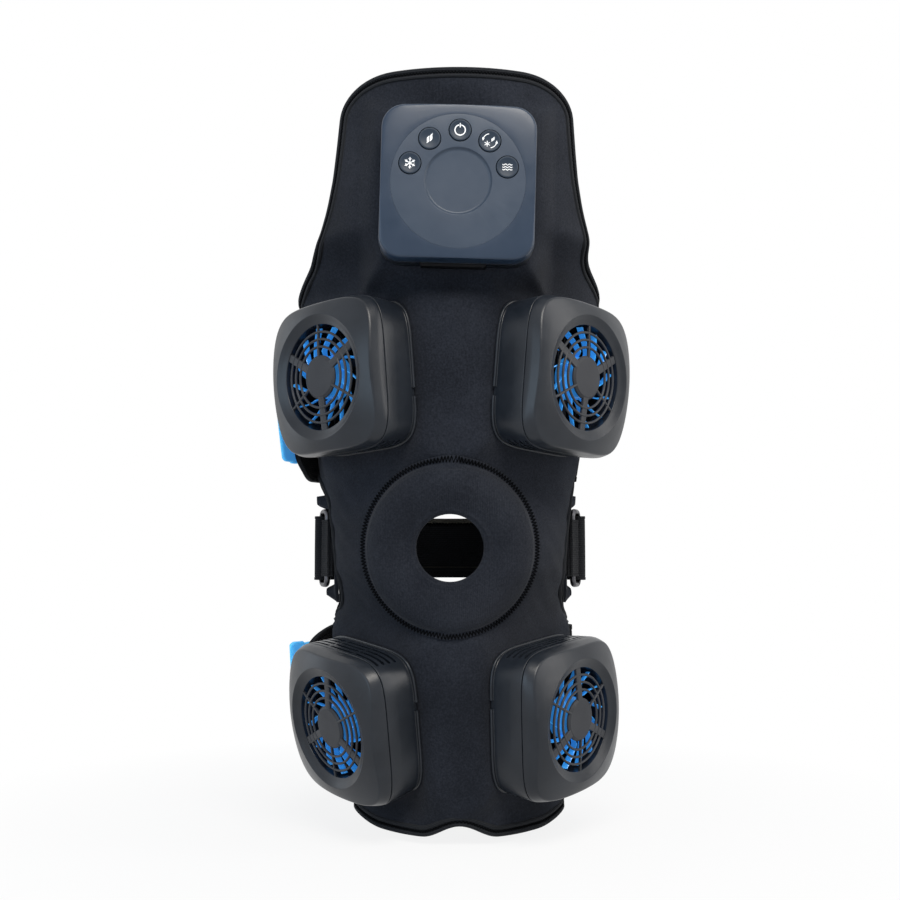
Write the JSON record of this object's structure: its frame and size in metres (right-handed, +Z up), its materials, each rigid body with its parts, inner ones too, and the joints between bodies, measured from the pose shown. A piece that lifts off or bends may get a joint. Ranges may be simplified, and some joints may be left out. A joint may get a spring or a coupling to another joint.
{
  "type": "hot cold therapy machine",
  "caption": "Padded knee wrap with webbing straps, square fan modules that warm or chill through metal plates, and a square push-button control box on the thigh.",
  "frame": {"origin": "middle of the knee, on the leg's axis at the height of the kneecap hole", "axes": "+Z up along the thigh, -Y forwards out of the kneecap, +X to the right as the front is looked at"},
  "size_m": [0.2058, 0.194, 0.4281],
  "materials": {
    "knit": "fine knitted cloth over foam",
    "webbing": "woven elastic webbing",
    "steel": "satin",
    "tab_blue": "smooth moulded rubbery plastic",
    "fan_blue": "moulded gloss",
    "aluminium": "bead blasted",
    "ceramic": "white ceramic tile",
    "face": "satin moulding",
    "dial": "satin moulding",
    "button": "satin moulding with a pale printed symbol",
    "board": "solder resist",
    "cell": "wrapped cells",
    "shell": "satin moulding"
  },
  "bodies": {
    "worn_wrap": {"battery": "cell", "charge_socket": "steel", "circuit_board": "board", "cold_plate_lower_left": "aluminium", "cold_plate_lower_right": "aluminium", "cold_plate_upper_left": "aluminium", "cold_plate_upper_right": "aluminium", "control_back": "shell", "control_cover": "face", "dial_plate": "dial", "fan_cover_lower_left": "shell", "fan_cover_lower_right": "shell", "fan_cover_upper_left": "shell", "fan_cover_upper_right": "shell", "fan_motor_lower_left": "shell", "fan_motor_lower_right": "shell", "fan_motor_upper_left": "shell", "fan_motor_upper_right": "shell", "grille_lower_left": "shell", "grille_lower_right": "shell", "grille_upper_left": "shell", "grille_upper_right": "shell", "heat_sink_lower_left": "aluminium", "heat_sink_lower_right": "aluminium", "heat_sink_upper_left": "aluminium", "heat_sink_upper_right": "aluminium", "housing_lower_left": "shell", "housing_lower_right": "shell", "housing_upper_left": "shell", "housing_upper_right": "shell", "lower_pull_tab": "tab_blue", "lower_strap": "webbing", "middle_strap": "webbing", "patella_pad": "knit", "peltier_lower_left": "ceramic", "peltier_lower_right": "ceramic", "peltier_upper_left": "ceramic", "peltier_upper_right": "ceramic", "ring_keeper_left": "webbing", "ring_keeper_right": "webbing", "side_patch_left": "knit", "side_patch_right": "knit", "strap_ring_left": "steel", "strap_ring_right": "steel", "upper_pull_tab": "tab_blue", "upper_strap": "webbing", "wrap": "knit"},
    "upper_left_fan": {"impeller_upper_left": "fan_blue"},
    "upper_right_fan": {"impeller_upper_right": "fan_blue"},
    "lower_left_fan": {"impeller_lower_left": "fan_blue"},
    "lower_right_fan": {"impeller_lower_right": "fan_blue"},
    "cool_button": {"button_cool": "button"},
    "heat_button": {"button_heat": "button"},
    "power_button": {"button_power": "button"},
    "cycle_button": {"button_cycle": "button"},
    "wave_button": {"button_wave": "button"},
    "port_flap": {"port_cover": "shell"}
  },
  "joints": [
    {"name": "cool_press", "type": "slide", "parent": "worn_wrap", "child": "cool_button", "axis": [0, 0.9994, 0.0349], "range_m": [0, 0.0006], "stiffness_N_per_m": 500},
    {"name": "heat_press", "type": "slide", "parent": "worn_wrap", "child": "heat_button", "axis": [0, 0.9994, 0.0349], "range_m": [0, 0.0006], "stiffness_N_per_m": 500},
    {"name": "power_press", "type": "slide", "parent": "worn_wrap", "child": "power_button", "axis": [0, 0.9994, 0.0349], "range_m": [0, 0.0006], "stiffness_N_per_m": 500},
    {"name": "cycle_press", "type": "slide", "parent": "worn_wrap", "child": "cycle_button", "axis": [0, 0.9994, 0.0349], "range_m": [0, 0.0006], "stiffness_N_per_m": 500},
    {"name": "wave_press", "type": "slide", "parent": "worn_wrap", "child": "wave_button", "axis": [0, 0.9994, 0.0349], "range_m": [0, 0.0006], "stiffness_N_per_m": 500},
    {"name": "upper_left_fan_spin", "type": "hinge", "parent": "worn_wrap", "child": "upper_left_fan", "pos_m": [-0.04904, -0.05422, 0.0947], "axis": [-0.6849, -0.7268, -0.0506], "continuous": true},
    {"name": "upper_right_fan_spin", "type": "hinge", "parent": "worn_wrap", "child": "upper_right_fan", "pos_m": [0.0516, -0.05352, 0.0947], "axis": [0.7292, -0.6823, -0.0523], "continuous": true},
    {"name": "lower_left_fan_spin", "type": "hinge", "parent": "worn_wrap", "child": "lower_left_fan", "pos_m": [-0.04307, -0.0241, -0.0939], "axis": [-0.7583, -0.6207, -0.1994], "continuous": true},
    {"name": "lower_right_fan_spin", "type": "hinge", "parent": "worn_wrap", "child": "lower_right_fan", "pos_m": [0.04834, -0.0249, -0.0939], "axis": [0.767, -0.639, -0.0576], "continuous": true},
    {"name": "port_flap_hinge", "type": "hinge", "parent": "worn_wrap", "child": "port_flap", "pos_m": [0.00159, -0.08352, 0.15247], "axis": [0.9997, 0.0009, -0.0262], "range_deg": [0, 70]}
  ]
}
